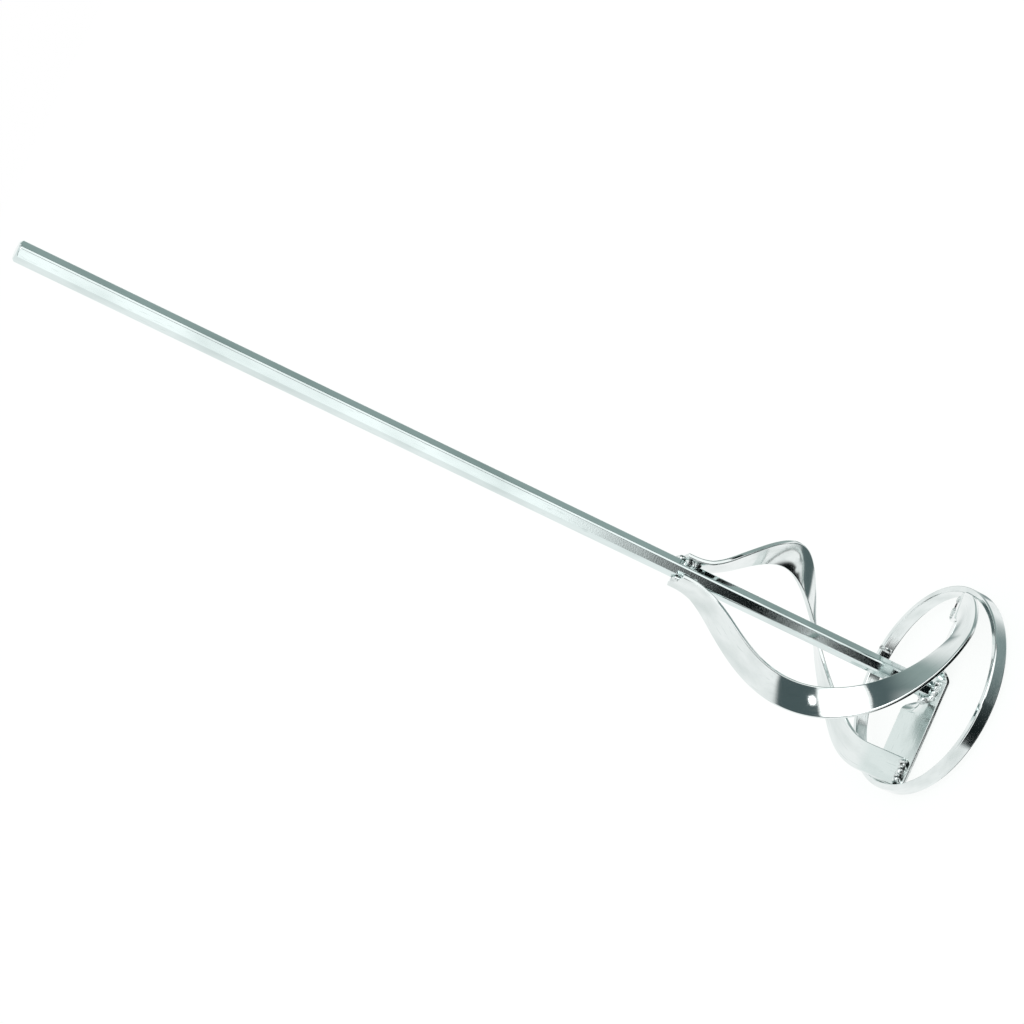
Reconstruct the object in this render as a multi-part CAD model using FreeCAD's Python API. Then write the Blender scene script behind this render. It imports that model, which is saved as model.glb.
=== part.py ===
import FreeCAD, Part
import math
import os

# Mortar mixing paddle, sizes in millimetres.
# Z runs up the shaft, z = 0 is the lowest edge of the crossbar.
# Y runs along the crossbar, X across it.

# ---- shaft ----
overall_height = 545.0
shaft_flats = 10.0
shaft_corner_round = 0.8
shaft_end_chamfer = 1.3

# ---- crossbar ----
bar_width = 20.0
bar_thickness = 3.0
bar_pitch = 28.0
bar_hub_clearance = 0.73
bar_turn_length = 9.0
bar_turn_steps = 8

# ---- ring ----
ring_outer_diameter = 120.0
ring_width = 8.0
ring_thickness = 3.5
ring_edge_round = 0.9
ring_above_bar_edge = 2.5
ring_seam_angle = 166.0
ring_seam_gap = 0.8

# ---- mixing blades ----
blade_width = 16.2
blade_thickness = 2.5
blade_edge_round = 0.7
blade_length = 252.0
blade_top_height = 172.5
blade_bow_radius = 55.6
blade_flat_angle = -68.0
blade_sweep = 158.0
blade_foot_clearance = 0.8
seat_gap = 0.05
blade_foot_overrun = 5.5
flare_share = 0.82
flare_start_power = 3.3
flare_end_power = 3.7
draw_in_start = 0.6
sweep_start = 0.205
twist_start = 0.10
twist_power = 1.5
height_sag = 3.3
height_sway = 4.7
foot_blend_start = 0.80
foot_blend_end = 0.92
blade_stations = 40
heading_step = 0.002

# ---- weld metal ----
bead_radius = 1.7
bead_end_round = 0.8
tack_radius = 2.3
seam_bead_radius = 2.2
seam_bead_inset = 0.15
top_run_start = 0.016
top_run_end = 0.060
side_bead_out = 1.05
side_bead_sink = 0.75
end_bead_inset = 2.35
end_bead_rise = 1.0
end_bead_sink = 0.4
foot_bead_inset = 2.6
foot_bead_out = 0.7
hub_bead_out = 0.5
hub_bead_rise = 0.2
hub_bead_inset = 1.2
arm_bead_low_inset = 5.6
arm_bead_high_inset = 3.2
arm_bead_drop = 0.3
arm_bead_ring_inset = 0.6

# ---- worked out from the sizes above ----
pitch = math.radians(bar_pitch)
bar_mid_height = (
    bar_width / 2 * math.sin(pitch) + bar_thickness / 2 * math.cos(pitch)
)
ring_radius = ring_outer_diameter / 2
ring_inner_radius = ring_radius - ring_thickness
blade_start_radius = shaft_flats / 2 + blade_thickness / 2
foot_radius = ring_inner_radius - blade_foot_clearance - blade_width / 2
foot_lift = (bar_thickness + blade_thickness) / 2 + seat_gap
bar_hub_half = shaft_flats / math.sqrt(3) + bar_hub_clearance
bar_turn_end = bar_hub_half + bar_turn_length
ridge_height = bar_mid_height + bar_thickness / 2 / math.cos(pitch)
side_bead_offset = shaft_flats / math.sqrt(3) / 2 + side_bead_out
Z_AXIS = FreeCAD.Vector(0, 0, 1)


def vec(x, y, z):
    """Point or direction from its three parts."""
    return FreeCAD.Vector(x, y, z)


def unit(v):
    """Direction of a vector, one long."""
    return v * (1.0 / v.Length)


def blend(t):
    """Smooth step from 0 to 1."""
    t = min(1.0, max(0.0, t))
    return t * t * (3 - 2 * t)


def beam_curve(t):
    """Share of the final bend reached along a strip bent like a held beam."""
    t = min(1.0, max(0.0, t))
    return t * t * (3 - t) / 2


def half_turn(shape):
    """Copy of a shape turned half a turn about the shaft."""
    copy = shape.copy()
    copy.rotate(vec(0, 0, 0), Z_AXIS, 180)
    return copy


# ---------------------------------------------------------------- shaft


def hex_prism(z_low, z_high):
    """Six-sided prism on the shaft's line, one flat facing the front blade."""
    corner = shaft_flats / math.sqrt(3)
    points = []
    for k in range(7):
        a = math.radians(blade_flat_angle + 30 + 60 * k)
        points.append(vec(corner * math.cos(a), corner * math.sin(a), z_low))
    face = Part.Face(Part.makePolygon(points))
    return face.extrude(vec(0, 0, z_high - z_low))


def roof_below(reach):
    """Everything under the top of the crossbar's hub, out to a reach."""
    eaves = ridge_height - reach * math.tan(pitch)
    floor = eaves - reach
    points = [
        vec(0, -reach, ridge_height),
        vec(reach, -reach, eaves),
        vec(reach, -reach, floor),
        vec(-reach, -reach, floor),
        vec(-reach, -reach, eaves),
    ]
    face = Part.Face(Part.makePolygon(points + points[:1]))
    return face.extrude(vec(0, 2 * reach, 0))


def make_shaft():
    """Hexagonal bar, its foot notched to sit on the hub, its end coned."""
    bar = hex_prism(0, overall_height)
    upright = [
        e for e in bar.Edges
        if abs(e.Vertexes[0].Z - e.Vertexes[1].Z) > 1.0
    ]
    bar = bar.makeFillet(shaft_corner_round, upright)
    # the cone takes the six corners off the top end
    end_radius = shaft_flats / 2 - shaft_end_chamfer / 2
    reach = shaft_flats
    cone_top = Part.makeCone(
        end_radius + reach, end_radius, reach,
        vec(0, 0, overall_height - reach),
    )
    lower = Part.makeCylinder(
        end_radius + reach, overall_height - reach, vec(0, 0, 0)
    )
    return bar.common(lower.fuse(cone_top)).cut(roof_below(shaft_flats))


# ---------------------------------------------------------------- crossbar


def leg_angle(y):
    """Rise of the strip's +X half at y, in degrees: low, then high on the +Y arm."""
    share = blend((y - bar_hub_half) / bar_turn_length)
    return bar_pitch * (2 * share - 1)


def arm_directions():
    """Width direction and face normal of the +Y arm."""
    return (
        vec(math.cos(pitch), 0, math.sin(pitch)),
        vec(-math.sin(pitch), 0, math.cos(pitch)),
    )


def bar_section(y):
    """Outline at y: two halves that meet on the bar's middle line."""
    near = math.radians(leg_angle(y))
    far = math.radians(leg_angle(-y))
    near_out = vec(math.cos(near), 0, math.sin(near))
    far_out = vec(-math.cos(far), 0, math.sin(far))
    near_up = vec(-math.sin(near), 0, math.cos(near))
    far_up = vec(math.sin(far), 0, math.cos(far))
    mitre = unit(near_up + far_up)
    half = bar_thickness / 2
    mitre = mitre * (half / mitre.dot(near_up))
    centre = vec(0, y, bar_mid_height)
    near_tip = centre + near_out * (bar_width / 2)
    far_tip = centre + far_out * (bar_width / 2)
    corners = [
        near_tip + near_up * half,
        centre + mitre,
        far_tip + far_up * half,
        far_tip - far_up * half,
        centre - mitre,
        near_tip - near_up * half,
    ]
    return Part.makePolygon(corners + corners[:1])


def make_crossbar():
    """Roof-shaped hub and two arms pitched opposite ways, cut to fit the ring."""
    hub = Part.Face(bar_section(-bar_hub_half)).extrude(
        vec(0, 2 * bar_hub_half, 0)
    )
    sections = []
    for k in range(bar_turn_steps + 1):
        sections.append(bar_section(bar_hub_half + bar_turn_length * k / bar_turn_steps))
    turn = Part.makeLoft(sections, True, False)
    arm = Part.Face(bar_section(bar_turn_end)).extrude(
        vec(0, ring_radius - bar_turn_end, 0)
    )
    half = turn.fuse(arm)
    strip = hub.fuse([half, half_turn(half)])
    inside = Part.makeCylinder(ring_inner_radius - seat_gap, 4 * bar_width)
    inside.translate(vec(0, 0, -bar_width))
    return strip.common(inside)


# ---------------------------------------------------------------- ring


def rounded_rectangle(centre, a_dir, b_dir, a_size, b_size, corner):
    """Closed outline with round corners, a_size along a_dir."""
    a = a_size / 2
    b = b_size / 2
    k = corner * (1 - math.sqrt(0.5))

    def at(u, v):
        return centre + a_dir * u + b_dir * v

    def side(u1, v1, u2, v2):
        return Part.LineSegment(at(u1, v1), at(u2, v2)).toShape()

    def turn(u1, v1, um, vm, u2, v2):
        return Part.Arc(at(u1, v1), at(um, vm), at(u2, v2)).toShape()

    c = corner
    edges = [
        side(-a + c, -b, a - c, -b),
        turn(a - c, -b, a - k, -b + k, a, -b + c),
        side(a, -b + c, a, b - c),
        turn(a, b - c, a - k, b - k, a - c, b),
        side(a - c, b, -a + c, b),
        turn(-a + c, b, -a + k, b - k, -a, b - c),
        side(-a, b - c, -a, -b + c),
        turn(-a, -b + c, -a + k, -b + k, -a + c, -b),
    ]
    return Part.Wire(edges)


def make_ring():
    """Flat strip bent on edge, its two ends a seam gap apart."""
    mid_radius = ring_radius - ring_thickness / 2
    mid_height = ring_above_bar_edge + ring_width / 2
    outline = rounded_rectangle(
        vec(mid_radius, 0, mid_height), vec(1, 0, 0), Z_AXIS,
        ring_thickness, ring_width, ring_edge_round,
    )
    gap_angle = math.degrees(ring_seam_gap / mid_radius)
    hoop = Part.Face(outline).revolve(vec(0, 0, 0), Z_AXIS, 360 - gap_angle)
    hoop.rotate(vec(0, 0, 0), Z_AXIS, ring_seam_angle + gap_angle / 2)
    return hoop


# ---------------------------------------------------------------- blades


def sweep_point(u):
    """Middle of the strip at share u of its length, before the foot."""
    s = min(1.0, max(0.0, u / flare_share))
    flare = (1 - (1 - s) ** flare_end_power) ** flare_start_power
    drawn = max(0.0, (u - draw_in_start) / (1 - draw_in_start)) ** 3
    radius = (
        blade_start_radius
        + (blade_bow_radius - blade_start_radius) * flare
        - (blade_bow_radius - foot_radius) * drawn
    )
    share = beam_curve((u - sweep_start) / (1 - sweep_start))
    angle = math.radians(blade_flat_angle + blade_sweep * share)
    drop = blade_top_height - ring_above_bar_edge
    height = (
        blade_top_height
        - drop * u
        - height_sag * math.sin(math.pi * u)
        + height_sway * math.sin(2 * math.pi * u)
    )
    return vec(radius * math.cos(angle), radius * math.sin(angle), height)


def foot_point(u):
    """Middle of the strip where it lies along the pitch of the arm."""
    across, normal = arm_directions()
    seat = vec(0, foot_radius, bar_mid_height) + normal * foot_lift
    return seat + across * (blade_length * (1 - u) - blade_foot_overrun)


def blade_point(u):
    """Middle of the strip at share u of its length."""
    share = blend((u - foot_blend_start) / (foot_blend_end - foot_blend_start))
    return sweep_point(u) * (1 - share) + foot_point(u) * share


def blade_frame(u):
    """Middle, heading, width direction and face normal of the strip at u."""
    middle = blade_point(u)
    heading = unit(blade_point(u + heading_step) - blade_point(u - heading_step))
    if u < heading_step:
        heading = vec(0, 0, -1)
    outward = unit(vec(middle.x, middle.y, 0))
    outward = unit(outward - heading * outward.dot(heading))
    sideways = outward.cross(heading)
    turn = min(1.0, max(0.0, (u - twist_start) / (1 - twist_start)))
    twist = -math.pi / 2 * (1 - (1 - turn) ** twist_power)
    width = sideways * math.cos(twist) + outward * math.sin(twist)
    seated = blend((u - foot_blend_start) / (foot_blend_end - foot_blend_start))
    width = width * (1 - seated) + vec(0, -1, 0) * seated
    width = unit(width - heading * width.dot(heading))
    return middle, heading, width, heading.cross(width)


def make_blade():
    """Strip welded to the shaft, bowed out, swept round and set on an arm."""
    sections = []
    for k in range(blade_stations + 1):
        middle, heading, width, normal = blade_frame(k / blade_stations)
        sections.append(
            rounded_rectangle(
                middle, width, normal,
                blade_width, blade_thickness, blade_edge_round,
            )
        )
    return Part.makeLoft(sections, True, False)


# ---------------------------------------------------------------- weld metal


def bead(start, end, radius, neighbours):
    """Straight run of weld with rounded ends, seated on its neighbours."""
    heading = unit(end - start)
    run = Part.makeCylinder(
        radius, (end - start).Length + 2 * radius,
        start - heading * radius, heading,
    )
    run = run.makeFillet(radius * bead_end_round, [run.Edges[0], run.Edges[2]])
    return seat(run, neighbours)


def seat(mass, neighbours):
    """Cut a mass of weld back to the pieces it sits on, largest lump kept."""
    for other in neighbours:
        mass = mass.cut(other)
    solids = sorted(mass.Solids, key=lambda s: s.Volume)
    return solids[-1]


def top_side_bead(blade, shaft, side):
    """Run in the groove between the strip's back and the shaft's next flat."""
    ends = []
    for u in (top_run_start, top_run_end):
        middle, _, width, _ = blade_frame(u)
        outward = unit(vec(middle.x, middle.y, 0))
        ends.append(
            middle + width * (side * side_bead_offset)
            - outward * (blade_thickness / 2 + side_bead_sink)
        )
    return bead(ends[0], ends[1], bead_radius, [shaft, blade])


def top_end_bead(shaft):
    """Run across the strip's upper end, on the shaft's flat."""
    middle, heading, width, _ = blade_frame(0.0)
    outward = unit(vec(middle.x, middle.y, 0))
    reach = side_bead_offset - end_bead_inset
    centre = middle - heading * end_bead_rise - outward * end_bead_sink
    below = Part.makeBox(
        4 * blade_width, 4 * blade_width, blade_width,
        vec(-2 * blade_width, -2 * blade_width, blade_top_height - blade_width),
    )
    return bead(
        centre - width * reach, centre + width * reach,
        bead_radius, [shaft, below],
    )


def foot_bead(blade, crossbar, ring):
    """Run across the strip's lower end, on the arm of the crossbar."""
    middle, heading, width, _ = blade_frame(1.0)
    reach = blade_width / 2 - foot_bead_inset
    centre = middle + heading * foot_bead_out
    return bead(
        centre - width * reach, centre + width * reach,
        tack_radius, [blade, crossbar, ring],
    )


def hub_bead(shaft, crossbar):
    """Run beside the shaft's foot, in the corner with one slope of the hub."""
    out = shaft_flats / 2 + hub_bead_out
    height = ridge_height - out * math.tan(pitch) + hub_bead_rise
    reach = shaft_flats / 2 - hub_bead_inset
    return bead(
        vec(out, -reach, height), vec(out, reach, height),
        tack_radius, [shaft, crossbar],
    )


def arm_end_bead(crossbar, ring):
    """Run under the end of an arm, in the corner against the ring."""
    across, normal = arm_directions()
    ends = []
    low = arm_bead_low_inset - bar_width / 2
    high = bar_width / 2 - arm_bead_high_inset
    run_radius = ring_inner_radius - arm_bead_ring_inset
    for slide in (low, high):
        offset = across * slide - normal * (bar_thickness / 2 + arm_bead_drop)
        reach = math.sqrt(run_radius ** 2 - offset.x ** 2)
        ends.append(vec(offset.x, reach, bar_mid_height + offset.z))
    return bead(ends[0], ends[1], bead_radius, [crossbar, ring])


def seam_bead(ring):
    """Run up the seam of the ring, filling it and standing a little proud."""
    a = math.radians(ring_seam_angle)
    middle = ring_radius - ring_thickness / 2
    foot = vec(
        middle * math.cos(a), middle * math.sin(a),
        ring_above_bar_edge + seam_bead_inset,
    )
    length = ring_width - 2 * seam_bead_inset
    run = Part.makeCylinder(seam_bead_radius, length, foot)
    run = run.makeFillet(ring_edge_round, [run.Edges[0], run.Edges[2]])
    return seat(run, [ring])


# ---------------------------------------------------------------- assembly


def build_parts():
    """Every solid of the tool, by node name."""
    shaft = make_shaft()
    crossbar = make_crossbar()
    ring = make_ring()
    front = make_blade()
    back = half_turn(front)
    top_near = top_side_bead(front, shaft, 1)
    top_far = top_side_bead(front, shaft, -1)
    top_end = top_end_bead(shaft)
    foot = foot_bead(front, crossbar, ring)
    hub = hub_bead(shaft, crossbar)
    arm_end = arm_end_bead(crossbar, ring)
    return {
        "hex_shaft": shaft,
        "crossbar": crossbar,
        "ring": ring,
        "blade_front": front,
        "blade_back": back,
        "weld_front_top_near": top_near,
        "weld_front_top_far": top_far,
        "weld_front_top_end": top_end,
        "weld_back_top_near": half_turn(top_near),
        "weld_back_top_far": half_turn(top_far),
        "weld_back_top_end": half_turn(top_end),
        "weld_front_foot": foot,
        "weld_back_foot": half_turn(foot),
        "weld_hub_near": hub,
        "weld_hub_far": half_turn(hub),
        "weld_arm_upper": arm_end,
        "weld_arm_lower": half_turn(arm_end),
        "weld_ring_seam": seam_bead(ring),
    }


os.makedirs("parts", exist_ok=True)
for name, shape in build_parts().items():
    body = max(shape.Solids, key=lambda solid: solid.Volume)
    body.exportStep("parts/" + name + ".step")
    print(name, len(shape.Solids), body.isValid(), round(body.Volume, 1))
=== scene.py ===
import logging
import math
from dataclasses import dataclass
from enum import Enum
from typing import ClassVar, Sequence

import bmesh
import bpy
import numpy as np
from mathutils import Matrix, Vector, noise


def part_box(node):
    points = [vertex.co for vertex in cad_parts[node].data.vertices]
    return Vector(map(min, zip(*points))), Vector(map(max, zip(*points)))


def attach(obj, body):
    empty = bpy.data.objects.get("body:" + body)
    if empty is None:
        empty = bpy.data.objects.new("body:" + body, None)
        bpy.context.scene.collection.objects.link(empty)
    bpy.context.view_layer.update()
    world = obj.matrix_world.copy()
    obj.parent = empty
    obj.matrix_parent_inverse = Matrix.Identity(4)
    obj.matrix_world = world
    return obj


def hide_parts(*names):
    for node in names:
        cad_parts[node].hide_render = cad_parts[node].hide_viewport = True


# Mortar mixing paddle: a hexagonal shaft, two bowed strips that sweep half
# round it, a pitched crossbar and a ring, all welded up and zinc plated.
# Lengths are in millimetres until a mesh is made, and Z runs up the shaft.

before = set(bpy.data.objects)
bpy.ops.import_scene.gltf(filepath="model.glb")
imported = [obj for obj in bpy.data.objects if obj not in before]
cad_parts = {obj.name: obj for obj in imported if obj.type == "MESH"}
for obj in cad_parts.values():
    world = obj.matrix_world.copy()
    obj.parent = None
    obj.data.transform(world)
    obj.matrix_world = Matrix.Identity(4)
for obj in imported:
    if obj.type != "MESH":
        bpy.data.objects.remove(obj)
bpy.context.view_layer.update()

MM = 0.001
ROOT = "root"
LAY = "lay"
HEAT = "heat"
PAINTED_SHADE = "painted_shade"
SPOT = "spot"
# How far a weld's heat has dulled the plate, in millimetres.
HEAT_REACH = 9.0
UP = np.array((0.0, 0.0, 1.0))
log = logging.getLogger("paddle")


class Slot(Enum):
    """The record's material slots."""

    SHAFT = "shaft_plate"
    STRIP = "strip_plate"
    RING = "ring_plate"
    WELD = "weld_plate"


# ------------------------------------------------------------------ numbers


def unit(v: np.ndarray) -> np.ndarray:
    """Direction of a vector."""
    return v / np.linalg.norm(v)


def clamp(t: float) -> float:
    """The number, held between 0 and 1."""
    return min(1.0, max(0.0, t))


def blend(t: float) -> float:
    """Smooth step from 0 to 1."""
    t = clamp(t)
    return t * t * (3 - 2 * t)


def beam_curve(t: float) -> float:
    """Share of the final bend reached along a strip bent like a held beam."""
    t = clamp(t)
    return t * t * (3 - t) / 2


def half_turn(points: np.ndarray) -> np.ndarray:
    """Points turned half a turn about the shaft."""
    return points * np.array((-1.0, -1.0, 1.0))


def both_ends(points: np.ndarray) -> list[np.ndarray]:
    """Points, and the same points half a turn about the shaft."""
    return [*points, *half_turn(points)]


def ripple(x: float, y: float, seed: float) -> float:
    """Smooth uneven value between about -1 and 1 that is the same each run.

    Args:
        x: first coordinate, in wavelengths.
        y: second coordinate, in wavelengths.
        seed: picks an independent pattern.

    Returns:
        The value of the pattern there.
    """
    return noise.noise(Vector((x, y, seed)))


def linear(hex_colour: str) -> tuple[float, float, float, float]:
    """An sRGB hex colour as the linear colour that a shader takes.

    Args:
        hex_colour: colour such as "#E7EDED".

    Returns:
        Red, green, blue and an alpha of 1.
    """
    parts = [int(hex_colour[i:i + 2], 16) / 255 for i in (1, 3, 5)]
    done = [
        c / 12.92 if c <= 0.04045 else ((c + 0.055) / 1.055) ** 2.4
        for c in parts
    ]
    return (done[0], done[1], done[2], 1.0)


# ------------------------------------------------------------------ meshes


@dataclass
class Skin:
    """A closed tube of rings of points, with both ends capped.

    Attributes:
        rings: points in millimetres, one row for each ring.
        lay: for each point, how far along, across and out of the piece it
            lies in millimetres, which the finishes follow.
        shade_levels: for each point, how much painted shade darkens it, 0 to 1,
            highest in the welds' creases, or None for a piece without painted shade.
    """

    rings: np.ndarray
    lay: np.ndarray
    shade_levels: np.ndarray | None = None

    def turned(self) -> "Skin":
        """The same tube, half a turn round the shaft."""
        return Skin(half_turn(self.rings), self.lay, self.shade_levels)

    def faces(self) -> list[tuple[int, ...]]:
        """Faces between the rings, and one face over each end.

        Returns:
            The numbers of each face's points.
        """
        count, around, _ = self.rings.shape
        faces: list[tuple[int, ...]] = [
            (
                k * around + i,
                k * around + (i + 1) % around,
                (k + 1) * around + (i + 1) % around,
                (k + 1) * around + i,
            )
            for k in range(count - 1)
            for i in range(around)
        ]
        faces.append(tuple(range(around))[::-1])
        faces.append(tuple(range((count - 1) * around, count * around)))
        return faces

    def build(self, name: str, heat_spots: Sequence[np.ndarray]) -> bpy.types.Object:
        """Make the mesh object.

        Args:
            name: name of the piece.
            heat_spots: centres of the welds that touched this piece.

        Returns:
            The new object, linked to the scene and smooth shaded.
        """
        points = self.rings.reshape(-1, 3)
        mesh = bpy.data.meshes.new(name)
        mesh.from_pydata((points * MM).tolist(), [], self.faces())
        mesh.attributes.new(LAY, "FLOAT_VECTOR", "POINT").data.foreach_set(
            "vector", (self.lay.reshape(-1) * MM).astype(np.float32)
        )
        mesh.attributes.new(HEAT, "FLOAT", "POINT").data.foreach_set(
            "value", heat_of(points, heat_spots).astype(np.float32)
        )
        # Painted shade for each point, 0 on a piece without any.
        shade_levels = np.zeros(len(points)) if self.shade_levels is None else self.shade_levels.reshape(-1)
        mesh.attributes.new(PAINTED_SHADE, "FLOAT", "POINT").data.foreach_set(
            "value", shade_levels.astype(np.float32)
        )
        mesh.validate()
        shape = bmesh.new()
        shape.from_mesh(mesh)
        bmesh.ops.recalc_face_normals(shape, faces=shape.faces)
        shape.to_mesh(mesh)
        shape.free()
        mesh.shade_smooth()
        piece = bpy.data.objects.new(name, mesh)
        bpy.context.scene.collection.objects.link(piece)
        return piece


def heat_of(points: np.ndarray, spots: Sequence[np.ndarray]) -> np.ndarray:
    """How strongly the nearest weld heated each point, 1 at the weld itself.

    Args:
        points: places in millimetres.
        spots: centres of the welds.

    Returns:
        One number between 0 and 1 for each point.
    """
    heat = np.zeros(len(points))
    for spot in spots:
        away = np.linalg.norm(points - spot, axis=1)
        heat = np.maximum(heat, np.exp(-((away / HEAT_REACH) ** 2)))
    return heat


# Where points lie on a strip's face and on its edge, as shares of half of it.
FACE_SHARES = (0.985, 0.93, 0.78, 0.52, 0.26, 0, -0.26, -0.52, -0.78, -0.93, -0.985)
EDGE_SHARES = (-0.7, 0, 0.7)


def strip_outline(width: float, thickness: float, corner: float) -> np.ndarray:
    """Outline of a flat strip with rolled round corners.

    Args:
        width: size along the first axis.
        thickness: size along the second axis.
        corner: radius of the corners.

    Returns:
        Points (across, out), the same number for every size.
    """
    a, b = width / 2 - corner, thickness / 2 - corner
    arc = np.radians(np.linspace(0, 90, 7))
    points = []
    for quarter, (cx, cy) in enumerate(((a, b), (-a, b), (-a, -b), (a, -b))):
        for t in arc + math.radians(90 * quarter):
            points.append((cx + corner * math.cos(t), cy + corner * math.sin(t)))
        if quarter % 2 == 0:
            side = 1 if quarter == 0 else -1
            points += [(side * a * s, side * (b + corner)) for s in FACE_SHARES]
        else:
            side = -1 if quarter == 1 else 1
            points += [(side * (a + corner), side * b * s) for s in EDGE_SHARES]
    return np.array(points)


def end_steps(radius: float) -> list[tuple[float, float]]:
    """Rounding of a cut end, as (inset, distance back from the end)."""
    angles = np.radians(np.linspace(0, 90, 6))
    return [(radius * (1 - math.sin(t)), radius * (1 - math.cos(t))) for t in angles]


# ------------------------------------------------------------------ finishes


# Painted shade: down in the creases and hollows of the welds, the colour
# is painted nearly black for the shade that falls there.
CREVICE_SHADE = "#1A2020"


def add_node(
    tree: bpy.types.NodeTree, kind: str, inputs: dict | None = None, **settings: object
) -> bpy.types.Node:
    """Add one node with its settings and links.

    Args:
        tree: node tree to add to.
        kind: the node's type name.
        inputs: for each input, by name or number, a socket to link or a value.
        settings: properties to set on the node before its inputs.

    Returns:
        The new node.
    """
    made = tree.nodes.new(kind)
    for key, value in settings.items():
        setattr(made, key, value)
    for key, value in (inputs or {}).items():
        if isinstance(value, bpy.types.NodeSocket):
            tree.links.new(value, made.inputs[key])
        else:
            made.inputs[key].default_value = value
    return made


@dataclass(frozen=True)
class ZincPlate:
    """Bright electroplated zinc on steel, which mirrors like dull chrome.

    The plate follows what is under it, so a drawn bar keeps its die lines, a
    rolled strip its mill lines, and weld metal its ripples. Handling leaves
    fine rubs, and near a weld the plate is greyer and less glossy. Down in the
    welds' creases and hollows the colour is painted nearly black, as painted
    shade.

    Attributes:
        name: name of the material.
        bright: colour of clean plate.
        dull: colour of thin or stained plate.
        gloss: roughness of clean plate.
        haze: roughness added where the plate is dull.
        line_mm: spacing of the lines that run along the piece.
        line_depth: their depth in millimetres.
        grain_mm: size of the plate's grain.
        grain_depth: its depth in millimetres.
        wave_mm: length of the hand-sized waves in the metal.
        wave_depth: their depth in millimetres.
        stain: how much of the dull colour shows, 0 to 1.
    """

    name: str
    bright: str
    dull: str
    gloss: float
    haze: float
    line_mm: float
    line_depth: float
    grain_mm: float
    grain_depth: float
    wave_mm: float
    wave_depth: float
    stain: float

    def material(self) -> bpy.types.Material:
        """Make the node material.

        Returns:
            The material, named for the finish.
        """
        made = bpy.data.materials.new(self.name)
        made.use_nodes = True
        tree = made.node_tree
        tree.nodes.clear()
        lay = add_node(tree, "ShaderNodeAttribute", attribute_name=LAY).outputs["Vector"]
        heat = add_node(tree, "ShaderNodeAttribute", attribute_name=HEAT).outputs["Fac"]
        painted_shade = add_node(tree, "ShaderNodeAttribute", attribute_name=PAINTED_SHADE).outputs["Fac"]
        lines = self.pattern(tree, lay, (self.line_mm * 60, self.line_mm, self.line_mm), 2.0)
        grain = self.pattern(tree, lay, (self.grain_mm,) * 3, 3.0)
        waves = self.pattern(tree, lay, (self.wave_mm,) * 3, 1.0)
        clouds = self.pattern(tree, lay, (self.wave_mm * 1.3, self.wave_mm * 0.6, 9.0), 4.0)
        rubs = self.pattern(tree, lay, (7.0, 0.8, 0.8), 1.0, turn=0.35)
        cloudy = add_node(
            tree, "ShaderNodeMapRange",
            {"Value": clouds, "From Min": 0.42, "From Max": 0.72, "To Max": self.stain},
        ).outputs["Result"]
        rubbed = add_node(
            tree, "ShaderNodeMapRange",
            {"Value": rubs, "From Min": 0.63, "From Max": 0.74, "To Max": 0.35},
        ).outputs["Result"]
        scorched = add_node(
            tree, "ShaderNodeMath", {0: heat, 1: grain}, operation="MULTIPLY"
        ).outputs[0]
        worn = add_node(
            tree, "ShaderNodeMath", {0: cloudy, 1: scorched}, operation="ADD", use_clamp=True
        ).outputs[0]
        dullness = add_node(
            tree, "ShaderNodeMath", {0: worn, 1: rubbed}, operation="MAXIMUM"
        ).outputs[0]
        colour = add_node(
            tree, "ShaderNodeMix",
            {"Factor": dullness, "A": linear(self.bright), "B": linear(self.dull)},
            data_type="RGBA",
        )
        plated = next(s for s in colour.outputs if s.type == "RGBA")
        # Painted shade: the colour is darkened to nearly black down in the welds' creases and hollows,
        # by the attribute read above.
        crevice_shaded = add_node(
            tree, "ShaderNodeMix",
            {"Factor": painted_shade, "A": plated, "B": linear(CREVICE_SHADE)},
            data_type="RGBA",
        )
        shaded_colour = next(s for s in crevice_shaded.outputs if s.type == "RGBA")
        roughness = add_node(
            tree, "ShaderNodeMapRange",
            {"Value": dullness, "To Min": self.gloss, "To Max": self.gloss + self.haze},
        ).outputs["Result"]
        wavy = self.bump(tree, waves, self.wave_depth, None)
        lined = self.bump(tree, lines, self.line_depth, wavy)
        grained = self.bump(tree, grain, self.grain_depth, lined)
        metal = add_node(
            tree, "ShaderNodeBsdfPrincipled",
            {
                "Base Color": shaded_colour,
                "Metallic": 1.0,
                "Roughness": roughness,
                "Normal": grained,
            },
        )
        add_node(tree, "ShaderNodeOutputMaterial", {"Surface": metal.outputs["BSDF"]})
        return made

    @staticmethod
    def pattern(
        tree: bpy.types.NodeTree, lay: bpy.types.NodeSocket,
        size: tuple[float, float, float], detail: float, turn: float = 0.0,
    ) -> bpy.types.NodeSocket:
        """Uneven pattern in the piece's own lay.

        Args:
            tree: node tree to add to.
            lay: how far along, across and out of the piece a point lies.
            size: size of the pattern's cells each way, in millimetres.
            detail: how many finer layers are added.
            turn: angle of the pattern on the face, in radians.

        Returns:
            The pattern's value, about 0.5 on average.
        """
        placed = add_node(
            tree, "ShaderNodeMapping",
            {
                "Vector": lay,
                "Rotation": (0.0, 0.0, turn),
                "Scale": tuple(1 / (s * MM) for s in size),
            },
            vector_type="POINT",
        )
        return add_node(
            tree, "ShaderNodeTexNoise",
            {"Vector": placed.outputs["Vector"], "Scale": 1.0, "Detail": detail},
        ).outputs[0]

    @staticmethod
    def bump(
        tree: bpy.types.NodeTree, height: bpy.types.NodeSocket, depth: float,
        under: bpy.types.NodeSocket | None,
    ) -> bpy.types.NodeSocket:
        """Relief from a pattern.

        Args:
            tree: node tree to add to.
            height: the pattern.
            depth: depth of the relief in millimetres.
            under: normal of a coarser relief below it, if there is one.

        Returns:
            The normal of the surface.
        """
        inputs = {"Height": height, "Strength": 1.0, "Distance": depth * MM}
        if under is not None:
            inputs["Normal"] = under
        return add_node(tree, "ShaderNodeBump", inputs).outputs["Normal"]


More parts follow.
